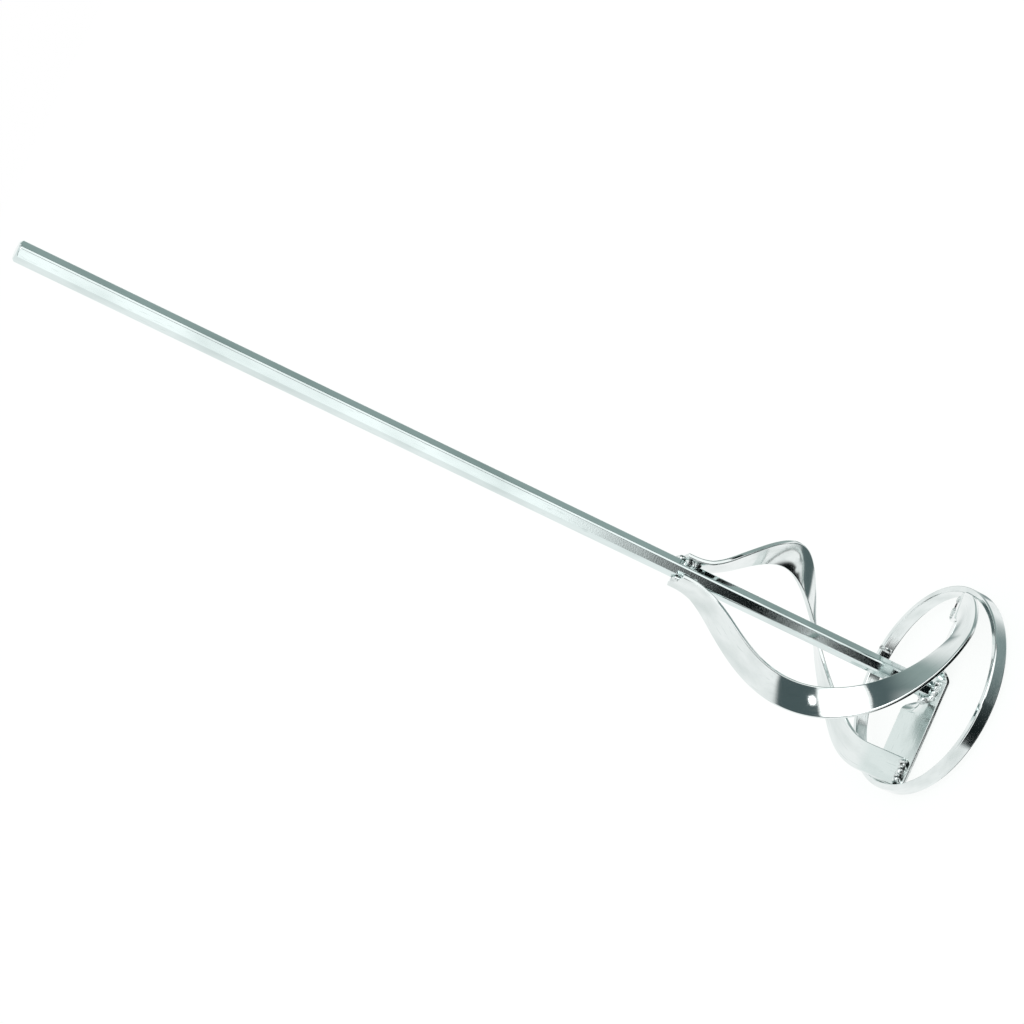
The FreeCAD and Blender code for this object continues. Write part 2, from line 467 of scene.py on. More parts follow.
# Cold-drawn hexagonal bar under bright zinc: a mirror broken into grain, with
# faint die lines along it. Real die lines lie 0.1 mm apart and the plate's
# grain is finer still, drawn here at 0.7 and 0.85 mm so that they show.
DRAWN_BAR = ZincPlate(
    "zinc_plate_on_drawn_bar", "#DFEAE9", "#B4C2C0", 0.05, 0.08,
    0.7, 0.004, 0.85, 0.010, 26.0, 0.05, 0.45,
)
# Rolled flat strip under bright zinc: smoother than the bar, so its mirror
# images have clean edges, softened by long mill lines.
ROLLED_STRIP = ZincPlate(
    "zinc_plate_on_rolled_strip", "#E8EEED", "#BFCAC8", 0.065, 0.14,
    0.9, 0.004, 0.9, 0.004, 18.0, 0.05, 0.5,
)
# The ring's strip was bent cold in rolls, which leaves fine lines round it.
BENT_STRIP = ZincPlate(
    "zinc_plate_on_bent_strip", "#E8EEED", "#BFCAC8", 0.075, 0.14,
    0.8, 0.005, 0.9, 0.004, 14.0, 0.04, 0.5,
)
# Weld metal under the same zinc: its lumps and creases are in the mesh, and
# the plate over them is greyer and less glossy.
WELD_METAL = ZincPlate(
    "zinc_plate_on_weld_metal", "#E8EEED", "#8C9897", 0.08, 0.16,
    1.4, 0.004, 1.2, 0.010, 3.0, 0.05, 0.5,
)


# ------------------------------------------------------------------ pieces


@dataclass
class Workshop:
    """Places finished pieces: body, node that each stands for, finish."""

    made: list[str]
    finishes: dict[str, bpy.types.Material]

    def place(
        self, skin: Skin, name: str, node: str | None, slot: Slot, finish: ZincPlate,
        heat_spots: Sequence[np.ndarray] = (),
    ) -> bpy.types.Object:
        """Build a piece and say what it is.

        Args:
            skin: the piece's shape.
            name: the piece's name.
            node: CAD node that it stands for, or None for an added detail.
            slot: the record's material slot; not used.
            finish: its surface.
            heat_spots: centres of the welds that touched it.

        Returns:
            The piece.
        """
        piece = skin.build(name, heat_spots)
        if finish.name not in self.finishes:
            self.finishes[finish.name] = finish.material()
        piece.data.materials.append(self.finishes[finish.name])
        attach(piece, ROOT)
        if node is not None:
            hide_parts(node)
        self.made.append(name)
        log.info("%s: %d faces, for %s", name, len(piece.data.polygons), node)
        return piece


@dataclass
class HexShaft:
    """Hexagonal bar, its top end turned to a cone that takes the corners off.

    Its corners are rounder than the CAD bar's 0.8 mm, which gives the bright
    line that runs down them.
    """

    flats: float = 10.0
    corner_round: float = 2.2
    end_chamfer: float = 1.3
    flat_angle: float = -68.0
    edge_soften: float = 0.25
    cone_zone: float = 4.0
    fine_zone: float = 1.6
    end_rings: tuple[float, ...] = (0.15, 0.5, 1.6, 3.6)

    def radius_at(self, angle: float) -> float:
        """Distance of the bar's surface from its line, at an angle in radians.

        Args:
            angle: angle about the shaft.

        Returns:
            The distance in millimetres, with the corners rounded.
        """
        sector = math.radians(60)
        from_flat = (angle - math.radians(self.flat_angle) + sector / 2) % sector - sector / 2
        away = abs(from_flat)
        corner = sector / 2
        centre = (self.flats / 2 - self.corner_round) / math.cos(corner)
        tangent = math.atan2(centre * math.sin(corner), self.flats / 2)
        if away <= tangent:
            return self.flats / 2 / math.cos(away)
        off = corner - away
        return centre * math.cos(off) + math.sqrt(
            self.corner_round ** 2 - (centre * math.sin(off)) ** 2
        )

    def angles(self) -> list[float]:
        """Angles of the outline's points, closer together round the corners.

        Returns:
            The angles in radians, in order round the bar.
        """
        steps = [-29, -27, -25, -23, -21, -19, -17, -12, -6, 0, 6, 12, 17, 19, 21, 23, 25, 27, 29]
        return [
            math.radians(self.flat_angle + 60 * side + step)
            for side in range(6)
            for step in steps
        ]

    def build(self, shop: Workshop, heat_spots: Sequence[np.ndarray]) -> None:
        """Build the bar from its foot on the crossbar to its end.

        Args:
            shop: places the piece.
            heat_spots: centres of the welds on the bar.
        """
        low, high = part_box("hex_shaft")
        foot, top = low[2] / MM, high[2] / MM
        end_radius = self.flats / 2 - self.end_chamfer / 2
        heights = list(np.linspace(foot, top - self.cone_zone, 180))
        heights += list(np.linspace(top - self.cone_zone + 0.2, top - self.fine_zone, 8))
        heights += list(np.linspace(top - self.fine_zone + 0.1, top, 16))
        outline = self.angles()
        rings, lay = [], []
        for z in heights:
            cone = end_radius + (top - z)
            ring, place = [], []
            for a in outline:
                plain = self.radius_at(a)
                # a rounded meeting of the flat and the cone
                gap = max(self.edge_soften - abs(plain - cone), 0.0)
                r = min(plain, cone) - gap * gap / (4 * self.edge_soften)
                ring.append((r * math.cos(a), r * math.sin(a), z))
                place.append((z, plain * a, r))
            rings.append(ring)
            lay.append(place)
        for inset in self.end_rings:
            r = end_radius - self.edge_soften / 4 - inset
            rings.append([(r * math.cos(a), r * math.sin(a), top) for a in outline])
            lay.append([(top - inset, r * a, r) for a in outline])
        skin = Skin(np.array(rings), np.array(lay))
        shop.place(skin, "shaft", "hex_shaft", Slot.SHAFT, DRAWN_BAR, heat_spots)


@dataclass
class Crossbar:
    """Strip across the ring: a roof-shaped hub and two arms pitched apart."""

    width: float = 20.0
    thickness: float = 3.0
    pitch: float = 28.0
    hub_half: float = 6.5
    turn_length: float = 9.0
    corner: float = 0.5
    ridge_soften: float = 1.6
    end_round: float = 0.4
    least_corner: float = 0.12
    ring_gap: float = 0.05
    straight_to: float = 30.0
    ridge_steps: int = 12

    @property
    def mid_height(self) -> float:
        """Height of the strip's middle."""
        a = math.radians(self.pitch)
        return self.width / 2 * math.sin(a) + self.thickness / 2 * math.cos(a)

    @property
    def ridge_height(self) -> float:
        """Height of the hub's top line."""
        return self.mid_height + self.thickness / 2 / math.cos(math.radians(self.pitch))

    def slope_height(self, x: float) -> float:
        """Height of the hub's top at a distance x from its middle line."""
        return self.ridge_height - abs(x) * math.tan(math.radians(self.pitch))

    def arm_directions(self) -> tuple[np.ndarray, np.ndarray]:
        """Width direction and face normal of the +Y arm."""
        a = math.radians(self.pitch)
        return np.array((math.cos(a), 0, math.sin(a))), np.array((-math.sin(a), 0, math.cos(a)))

    def place_point(self, y: float, w: float, t: float) -> tuple[float, float]:
        """Where a point of the flat strip lies once the strip is formed.

        Args:
            y: distance along the bar.
            w: distance across the strip.
            t: distance out of its face.

        Returns:
            The point's X and Z, with the middle line softly rounded.
        """
        rises = [
            math.radians(
                self.pitch * (2 * blend((side * y - self.hub_half) / self.turn_length) - 1)
            )
            for side in (1, -1)
        ]
        near, far = rises[0], -rises[1]
        fold = (near - far) / 2
        # each half keeps its own slope, and the middle rolls from one to the other
        soft, steps = self.ridge_soften, self.ridge_steps
        slope = far + (near - far) * clamp((w / soft + 1) / 2)
        rolled = max(-soft, min(soft, w))
        spans = [rolled * (k + 0.5) / steps for k in range(steps)]
        along = [far + (near - far) * clamp((v / soft + 1) / 2) for v in spans]
        x = sum(math.cos(a) for a in along) * rolled / steps + math.cos(slope) * (w - rolled)
        z = sum(math.sin(a) for a in along) * rolled / steps + math.sin(slope) * (w - rolled)
        # the rounded middle stands as high as the sharp one would, at its tips
        z -= abs(math.sin(fold)) * soft / 4
        return x - math.sin(slope) * t, z + math.cos(slope) * t

    def build(self, shop: Workshop, ring_inner: float, heat_spots: Sequence[np.ndarray]) -> None:
        """Build the bar to fit inside the ring.

        Args:
            shop: places the piece.
            ring_inner: inner radius of the ring.
            heat_spots: centres of the welds on the bar.
        """
        reach = ring_inner - self.ring_gap
        steady = self.straight_to
        ends = end_steps(self.end_round)
        stations = [(y, 0.0, 0) for y in np.linspace(0, steady, 91)[1:]]
        stations += [(steady, share, 0) for share in np.linspace(0, 1, 28)[1:-1]]
        stations += [(steady, 1.0, k) for k in range(len(ends))][::-1]
        order = [(-1, s) for s in stations[::-1]] + [(1, (0.0, 0.0, 0))]
        order += [(1, s) for s in stations]
        rings, lay = [], []
        for side, (y, share, step) in order:
            inset, back = ends[step] if share == 1.0 else (0.0, 0.0)
            ring, place = [], []
            outline = strip_outline(
                self.width - 2 * inset, self.thickness - 2 * inset,
                max(self.corner - inset, self.least_corner),
            )
            for w, t in outline:
                x, z = self.place_point(side * y, w, t)
                edge = math.sqrt(reach ** 2 - x ** 2) - back
                at = y if share == 0.0 else steady + (edge - steady) * share
                ring.append((x, side * at, self.mid_height + z))
                place.append((side * at, w, t))
            rings.append(ring)
            lay.append(place)
        skin = Skin(np.array(rings), np.array(lay))
        shop.place(skin, "cross_bar", "crossbar", Slot.STRIP, ROLLED_STRIP, heat_spots)


@dataclass
class GuardRing:
    """Flat strip bent into a ring, its ends welded together."""

    outer_radius: float = 60.0
    width: float = 8.0
    thickness: float = 3.5
    corner: float = 0.9
    foot: float = 2.5
    seam_angle: float = 166.0
    seam_gap: float = 0.8
    end_round: float = 0.3
    stations: int = 420
    waviness: float = 0.07
    roll_marks: float = 4.0
    roll_seed: float = 3.1

    @property
    def inner_radius(self) -> float:
        """Inner radius of the ring."""
        return self.outer_radius - self.thickness

    @property
    def mid_radius(self) -> float:
        """Radius of the strip's middle."""
        return self.outer_radius - self.thickness / 2

    def build(self, shop: Workshop, heat_spots: Sequence[np.ndarray]) -> None:
        """Build the hoop from one side of its seam round to the other.

        Args:
            shop: places the piece.
            heat_spots: centres of the welds on the ring.
        """
        half_gap = self.seam_gap / 2 / self.mid_radius
        start = math.radians(self.seam_angle) + half_gap
        sweep = 2 * math.pi - 2 * half_gap
        ends = end_steps(self.end_round)
        count = self.stations
        plain = [(start + sweep * k / count, 0.0) for k in range(1, count)]
        first = [(start + back / self.mid_radius, inset) for inset, back in ends][::-1]
        last = [(start + sweep - back / self.mid_radius, inset) for inset, back in ends]
        stations = sorted(first + last + plain, key=lambda s: s[0])
        middle = self.foot + self.width / 2
        rings, lay = [], []
        for angle, inset in stations:
            outline = strip_outline(
                self.width - 2 * inset, self.thickness - 2 * inset, self.corner - inset
            )
            # the strip's faces stay a little uneven from the bending rolls
            uneven = ripple(angle * self.roll_marks, 0.0, self.roll_seed)
            sway = -self.waviness * (0.5 + 0.5 * uneven)
            out = np.array((math.cos(angle), math.sin(angle), 0.0))
            ring = [
                out * (self.mid_radius + t + (sway if t > 0 else 0.0)) + UP * (middle + w)
                for w, t in outline
            ]
            rings.append(ring)
            lay.append([(angle * self.mid_radius, w, t) for w, t in outline])
        skin = Skin(np.array(rings), np.array(lay))
        shop.place(skin, "guard_ring", "ring", Slot.RING, BENT_STRIP, heat_spots)


@dataclass
class MixingBlade:
    """Strip welded to the shaft, bowed out, swept half round and set on an arm."""

    width: float = 16.2
    thickness: float = 2.5
    corner: float = 0.7
    length: float = 252.0
    top_height: float = 172.5
    bow_radius: float = 55.6
    start_radius: float = 6.25
    flat_angle: float = -68.0
    sweep: float = 158.0
    foot_radius: float = 47.6
    foot_overrun: float = 5.5
    foot_height: float = 2.5
    foot_lift: float = 2.8
    flare_share: float = 0.82
    flare_start_power: float = 3.3
    flare_end_power: float = 3.7
    draw_in_start: float = 0.6
    sweep_start: float = 0.205
    twist_start: float = 0.10
    twist_power: float = 1.5
    height_sag: float = 3.3
    height_sway: float = 4.7
    foot_blend_start: float = 0.80
    foot_blend_end: float = 0.92
    end_round: float = 0.45
    heading_step: float = 0.002
    stations: int = 461
    waviness: float = 0.10
    dent_length: float = 24.0
    dent_width: float = 14.0
    dent_seed: float = 7.7

    def sweep_point(self, u: float) -> np.ndarray:
        """Middle of the strip's free run, before it settles on the arm.

        Args:
            u: share of the strip's length, from its top.

        Returns:
            The point in millimetres.
        """
        s = clamp(u / self.flare_share)
        flare = (1 - (1 - s) ** self.flare_end_power) ** self.flare_start_power
        drawn = max(0.0, (u - self.draw_in_start) / (1 - self.draw_in_start)) ** 3
        radius = (
            self.start_radius
            + (self.bow_radius - self.start_radius) * flare
            - (self.bow_radius - self.foot_radius) * drawn
        )
        share = beam_curve((u - self.sweep_start) / (1 - self.sweep_start))
        angle = math.radians(self.flat_angle + self.sweep * share)
        height = (
            self.top_height
            - (self.top_height - self.foot_height) * u
            - self.height_sag * math.sin(math.pi * u)
            + self.height_sway * math.sin(2 * math.pi * u)
        )
        return np.array((radius * math.cos(angle), radius * math.sin(angle), height))

    def seated(self, u: float) -> float:
        """How far the strip has settled on the arm, 0 to 1."""
        return blend(
            (u - self.foot_blend_start) / (self.foot_blend_end - self.foot_blend_start)
        )

    def point(self, u: float, arm: Crossbar) -> np.ndarray:
        """Middle of the strip.

        Args:
            u: share of the strip's length, from its top.
            arm: the crossbar that carries its foot.

        Returns:
            The point in millimetres.
        """
        across, normal = arm.arm_directions()
        seat = np.array((0.0, self.foot_radius, arm.mid_height)) + normal * self.foot_lift
        foot = seat + across * (self.length * (1 - u) - self.foot_overrun)
        share = self.seated(u)
        return self.sweep_point(u) * (1 - share) + foot * share

    def frame(
        self, u: float, arm: Crossbar
    ) -> tuple[np.ndarray, np.ndarray, np.ndarray, np.ndarray]:
        """Where the strip is and how it lies.

        Args:
            u: share of the strip's length, from its top.
            arm: the crossbar that carries its foot.

        Returns:
            Its middle, heading, width direction and face normal.
        """
        step = self.heading_step
        middle = self.point(u, arm)
        heading = unit(self.point(u + step, arm) - self.point(u - step, arm))
        if u < step:
            heading = -UP
        outward = unit(middle * np.array((1.0, 1.0, 0.0)))
        outward = unit(outward - heading * outward.dot(heading))
        sideways = np.cross(outward, heading)
        turn = clamp((u - self.twist_start) / (1 - self.twist_start))
        twist = -math.pi / 2 * (1 - (1 - turn) ** self.twist_power)
        width = sideways * math.cos(twist) + outward * math.sin(twist)
        share = self.seated(u)
        width = width * (1 - share) + np.array((0.0, -1.0, 0.0)) * share
        width = unit(width - heading * width.dot(heading))
        return middle, heading, width, np.cross(heading, width)

    def skin(self, arm: Crossbar) -> Skin:
        """The front strip's surface.

        Args:
            arm: the crossbar that carries its foot.

        Returns:
            The strip, with rounded cut ends.
        """
        ends = end_steps(self.end_round)
        stations = [(back, inset) for inset, back in ends][::-1]
        stations += [(s, 0.0) for s in np.linspace(0, self.length, self.stations)[1:-1]]
        stations += [(self.length - back, inset) for inset, back in ends]
        rings, lay = [], []
        for along, inset in sorted(stations):
            middle, _, width, normal = self.frame(along / self.length, arm)
            outline = strip_outline(
                self.width - 2 * inset, self.thickness - 2 * inset, self.corner - inset
            )
            ring = []
            for w, t in outline:
                # hand-bent metal isn't quite flat between its bends
                dent = self.waviness * ripple(
                    along / self.dent_length, w / self.dent_width, self.dent_seed
                )
                ring.append(middle + width * w + normal * (t + dent))
            rings.append(ring)
            lay.append([(along, w, t) for w, t in outline])
        return Skin(np.array(rings), np.array(lay))


# ------------------------------------------------------------------ weld metal


@dataclass
class WeldRun:
    """A run of weld: a rounded rope of frozen ripples along a path.

    Attributes:
        path: points of the run in millimetres.
        radius: its radius.
        seed: picks its unevenness.
        pitch: distance from one frozen ripple to the next.
        lump: how uneven it is, as a share of its radius.
        grooves: how deep the ripples are, as a share of its radius.
        cap_share: length of its round ends, as a share of its radius.
        step: distance between its rings.
        look_ahead: how far either way its heading is taken over.
        around: number of points round it.
    """

    path: np.ndarray
    radius: float
    seed: float
    pitch: float = 2.9
    lump: float = 0.42
    grooves: float = 0.16
    cap_share: float = 0.95
    step: float = 0.18
    look_ahead: float = 0.3
    around: int = 48

    def stations(self, length: float) -> list[tuple[float, float]]:
        """Where the run's rings lie, closer together at its round ends.

        Args:
            length: length of the path.

        Returns:
            For each ring, its place along the path and its share of the radius.
        """
        cap = self.radius * self.cap_share
        caps = np.radians(np.linspace(90, 0, 12)[1:-1])
        body = np.linspace(0, length, max(6, int(length / self.step)))
        stations = [(-cap * math.sin(t), math.cos(t)) for t in caps]
        stations += [(s, 1.0) for s in body]
        stations += [(length + cap * math.sin(t), math.cos(t)) for t in caps[::-1]]
        return stations

    def swell(self, s: float, a: float) -> tuple[float, float]:
        """How the frozen metal swells and sinks.

        Args:
            s: distance along the run.
            a: angle round it, in radians.

        Returns:
            The radius as a share of the plain one, and how much painted shade
            the point gets, 0 to 1, most in the creases and where the metal sinks.
        """
        lumps = ripple(
            s / 3.0 + 3 * self.seed, math.cos(a) * 0.7, math.sin(a) * 0.7 + self.seed
        )
        drift = 0.5 * ripple(s / 3.1, self.seed, 5.3)
        wave = math.cos(2 * math.pi * (s / self.pitch + drift - 0.28 * math.cos(a)))
        # a narrow crease where one ripple froze against the next
        crease = (0.5 - 0.5 * wave) ** 5
        share = 1 + self.lump * lumps - self.grooves * crease
        # Painted shade: darkest down in the creases and where the lumps sink.
        return share, clamp(0.9 * crease - 2.4 * lumps - 0.35)

    def skin(self) -> Skin:
        """The run's surface.

        Returns:
            The run, with round ends.
        """
        legs = np.linalg.norm(np.diff(self.path, axis=0), axis=1)
        marks = np.concatenate(((0.0,), np.cumsum(legs)))
        length = marks[-1]

        def on_path(s: float) -> np.ndarray:
            """Point of the path at a distance along it."""
            return np.array([np.interp(s, marks, self.path[:, i]) for i in range(3)])

        rings, lay, shade_levels = [], [], []
        for s, shrink in self.stations(length):
            held = min(length, max(0.0, s))
            ahead = on_path(min(length, held + self.look_ahead))
            behind = on_path(max(0.0, held - self.look_ahead))
            heading = unit(ahead - behind)
            side = unit(np.cross(heading, UP if abs(heading[2]) < 0.9 else np.array((1.0, 0, 0))))
            lift = np.cross(side, heading)
            middle = on_path(held) + heading * (s - held)
            ring, place, painted_shade = [], [], []
            for k in range(self.around):
                a = 2 * math.pi * k / self.around
                share, depth = self.swell(s, a)
                r = self.radius * shrink * share
                ring.append(middle + side * (r * math.cos(a)) + lift * (r * math.sin(a)))
                place.append((s, r * math.cos(a), r * math.sin(a)))
                painted_shade.append(depth)
            rings.append(ring)
            lay.append(place)
            shade_levels.append(painted_shade)
        return Skin(np.array(rings), np.array(lay), np.array(shade_levels))


@dataclass
class Welds:
    """Every deposit of weld metal on the tool."""

    bead_radius: float = 1.7
    tack_radius: float = 2.3
    hub_radius: float = 2.07
    seam_radius: float = 2.2
    side_start: float = 0.016
    side_end: float = 0.060
    side_offset: float = 3.94
    side_sink: float = 2.0
    end_rise: float = 0.6
    end_sink: float = 0.4
    end_half: float = 1.6
    foot_out: float = 0.7
    foot_half: float = 5.4
    hub_rise: float = 0.2
    arm_low: float = -4.4
    arm_high: float = 6.8
    arm_drop: float = 0.3
    arm_inset: float = 0.6
    seam_inset: float = 1.6
    seam_lump: float = 0.08
    seam_grooves: float = 0.03

    # Corners of the hub's run in X and Y: from in front of the shaft, round
    # its corner and along its foot.
    HUB_CORNERS: ClassVar[tuple[tuple[float, float], ...]] = (
        (0.6, -7.4), (2.8, -6.2), (4.9, -4.6), (5.5, -2.0), (5.5, 1.6), (5.3, 4.4),
    )

    def side_path(self, blade: MixingBlade, arm: Crossbar, side: int) -> np.ndarray:
        """Path of the run in one groove beside the strip's back.

        Args:
            blade: the strip.
            arm: the crossbar that carries the strip's foot.
            side: 1 for the near groove, -1 for the far one.

        Returns:
            Points in millimetres.
        """
        points = []
        for u in np.linspace(self.side_start, self.side_end, 8):
            middle, _, width, _ = blade.frame(u, arm)
            outward = unit(middle * np.array((1.0, 1.0, 0.0)))
            points.append(middle + width * side * self.side_offset - outward * self.side_sink)
        return np.array(points)

    def end_path(self, blade: MixingBlade, arm: Crossbar) -> np.ndarray:
        """Path of the run across the strip's upper end.

        Args:
            blade: the strip.
            arm: the crossbar that carries the strip's foot.

        Returns:
            Points in millimetres.
        """
        middle, heading, width, _ = blade.frame(0.0, arm)
        outward = unit(middle * np.array((1.0, 1.0, 0.0)))
        centre = middle - heading * self.end_rise - outward * self.end_sink
        return np.array([centre + width * s for s in (-self.end_half, 0.0, self.end_half)])

    def foot_path(self, blade: MixingBlade, arm: Crossbar) -> np.ndarray:
        """Path of the run across the strip's lower end, on the arm.

        Args:
            blade: the strip.
            arm: the crossbar that carries the strip's foot.

        Returns:
            Points in millimetres.
        """
        middle, heading, width, _ = blade.frame(1.0, arm)
        centre = middle + heading * self.foot_out
        return np.array([centre + width * s for s in (-self.foot_half, 0.0, self.foot_half)])

    def hub_path(self, arm: Crossbar) -> np.ndarray:
        """Path of the run from the shaft's corner along its foot, on the hub.

        Args:
            arm: the crossbar.

        Returns:
            Points in millimetres.
        """
        points = np.array(
            [(x, y, arm.slope_height(x) + self.hub_rise) for x, y in self.HUB_CORNERS]
        )
        marks = np.arange(len(points))
        fine = np.linspace(0, len(points) - 1, 40)
        return np.stack([np.interp(fine, marks, points[:, i]) for i in range(3)], axis=1)

    def arm_path(self, arm: Crossbar, inner: float) -> np.ndarray:
        """Path of the run under the end of an arm, against the ring.

        Args:
            arm: the crossbar.
            inner: inner radius of the ring.

        Returns:
            Points in millimetres.
        """
        across, normal = arm.arm_directions()
        points = []
        for slide in np.linspace(self.arm_low, self.arm_high, 12):
            offset = across * slide - normal * (arm.thickness / 2 + self.arm_drop)
            reach = math.sqrt((inner - self.arm_inset) ** 2 - offset[0] ** 2)
            points.append((offset[0], reach, arm.mid_height + offset[2]))
        return np.array(points)

    def seam_path(self, ring: GuardRing) -> np.ndarray:
        """Path of the run up the ring's seam.

        Args:
            ring: the ring.

        Returns:
            Points in millimetres.
        """
        a = math.radians(ring.seam_angle)
        out = np.array((math.cos(a), math.sin(a), 0.0)) * ring.mid_radius
        low, high = ring.foot + self.seam_inset, ring.foot + ring.width - self.seam_inset
        return np.array([out + UP * z for z in np.linspace(low, high, 6)])

    def build(self, shop: Workshop, blade: MixingBlade, arm: Crossbar, ring: GuardRing) -> None:
        """Build every run, each with its own unevenness.

        Args:
            shop: places the pieces.
            blade: the strip that the runs hold.
            arm: the crossbar.
            ring: the ring.
        """
        pairs = (
            ("top_near", self.side_path(blade, arm, 1), self.bead_radius),
            ("top_far", self.side_path(blade, arm, -1), self.bead_radius),
            ("top_end", self.end_path(blade, arm), self.bead_radius),
            ("foot", self.foot_path(blade, arm), self.tack_radius),
        )
        for index, (label, path, radius) in enumerate(pairs):
            seed = 1.7 * index
            self.place(shop, WeldRun(path, radius, seed), "front_" + label)
            self.place(shop, WeldRun(half_turn(path), radius, seed + 9), "back_" + label)
        hub, under = self.hub_path(arm), self.arm_path(arm, ring.inner_radius)
        self.place(shop, WeldRun(hub, self.hub_radius, 21.3), "hub_near")
        self.place(shop, WeldRun(half_turn(hub), self.hub_radius, 24.1), "hub_far")
        self.place(shop, WeldRun(under, self.bead_radius, 27.2), "arm_upper")
        self.place(shop, WeldRun(half_turn(under), self.bead_radius, 31.8), "arm_lower")
        seam = WeldRun(
            self.seam_path(ring), self.seam_radius, 35.5,
            lump=self.seam_lump, grooves=self.seam_grooves,
        )
        self.place(shop, seam, "ring_seam")

    @staticmethod
    def place(shop: Workshop, run: WeldRun, label: str) -> None:
        """Place one run for the CAD node of the same name.

        Args:
            shop: places the piece.
            run: the run.
            label: where it lies on the tool.
        """
        spots = [run.path[0], run.path[-1]]
        shop.place(run.skin(), "bead_" + label, "weld_" + label, Slot.WELD, WELD_METAL, spots)


# ------------------------------------------------------------------ studio


@dataclass(frozen=True)
class Card:
    """A studio card far off, seen only in the metal: a flag or a reflector.

    Attributes:
        name: its name.
        azimuth: its two sides, in degrees from +X.
        elevation: its lower and upper edge, in degrees.
        colour: what it sends back.
        strength: how bright it is.
        soft: share of its size over which the sides and the lower and upper
            edge fade out.
    """

    name: str
    azimuth: tuple[float, float]
    elevation: tuple[float, float]
    colour: str
    strength: float = 1.0
    soft: tuple[float, float, float, float] = (0.05, 0.05, 0.05, 0.05)

    STEPS: ClassVar[int] = 24
    HIDDEN_FROM: ClassVar[tuple[str, ...]] = (
        "camera", "diffuse", "shadow", "transmission", "volume_scatter",
    )

    def build(self, distance: float) -> None:
        """Make the card as a patch of a sphere, with soft edges.

        Args:
            distance: how far off it stands, in metres.
        """
        steps = self.STEPS
        (left, right), (low, high) = self.azimuth, self.elevation
        points, spots = [], []
        for j in range(steps + 1):
            for i in range(steps + 1):
                u, v = i / steps, j / steps
                a = math.radians(left + (right - left) * u)
                e = math.radians(low + (high - low) * v)
                points.append((
                    distance * math.cos(e) * math.cos(a),
                    distance * math.cos(e) * math.sin(a),
                    distance * math.sin(e),
                ))
                spots.append((u, v, 0.0))
        row = steps + 1
        faces = [
            (j * row + i, j * row + i + 1, (j + 1) * row + i + 1, (j + 1) * row + i)
            for j in range(steps)
            for i in range(steps)
        ]
        mesh = bpy.data.meshes.new(self.name)
        mesh.from_pydata(points, [], faces)
        mesh.attributes.new(SPOT, "FLOAT_VECTOR", "POINT").data.foreach_set(
            "vector", np.array(spots, dtype=np.float32).reshape(-1)
        )
        card = bpy.data.objects.new(self.name, mesh)
        bpy.context.scene.collection.objects.link(card)
        mesh.materials.append(self.material())
        for ray in self.HIDDEN_FROM:
            setattr(card, "visible_" + ray, False)

    def material(self) -> bpy.types.Material:
        """Glowing card that fades out at its edges.

        Returns:
            The card's material.
        """
        made = bpy.data.materials.new(self.name + "_card")
        made.use_nodes = True
        tree = made.node_tree
        tree.nodes.clear()
        spot = add_node(tree, "ShaderNodeAttribute", attribute_name=SPOT)
        place = add_node(tree, "ShaderNodeSeparateXYZ", {0: spot.outputs["Vector"]})
        left, right, low, high = self.soft
        shown = None
        for axis, start, end in (
            ("X", 0.0, left), ("X", 1.0, 1.0 - right), ("Y", 0.0, low), ("Y", 1.0, 1.0 - high),
        ):
            if start == end:
                continue
            edge = add_node(
                tree, "ShaderNodeMapRange",
                {"Value": place.outputs[axis], "From Min": start, "From Max": end},
                interpolation_type="SMOOTHSTEP",
            ).outputs["Result"]
            shown = edge if shown is None else add_node(
                tree, "ShaderNodeMath", {0: shown, 1: edge}, operation="MULTIPLY"
            ).outputs[0]
        glow = add_node(
            tree, "ShaderNodeEmission", {"Color": linear(self.colour), "Strength": self.strength}
        )
        clear = add_node(tree, "ShaderNodeBsdfTransparent")
        mixed = add_node(
            tree, "ShaderNodeMixShader",
            {0: shown, 1: clear.outputs[0], 2: glow.outputs[0]},
        )
        add_node(tree, "ShaderNodeOutputMaterial", {"Surface": mixed.outputs[0]})
        return made


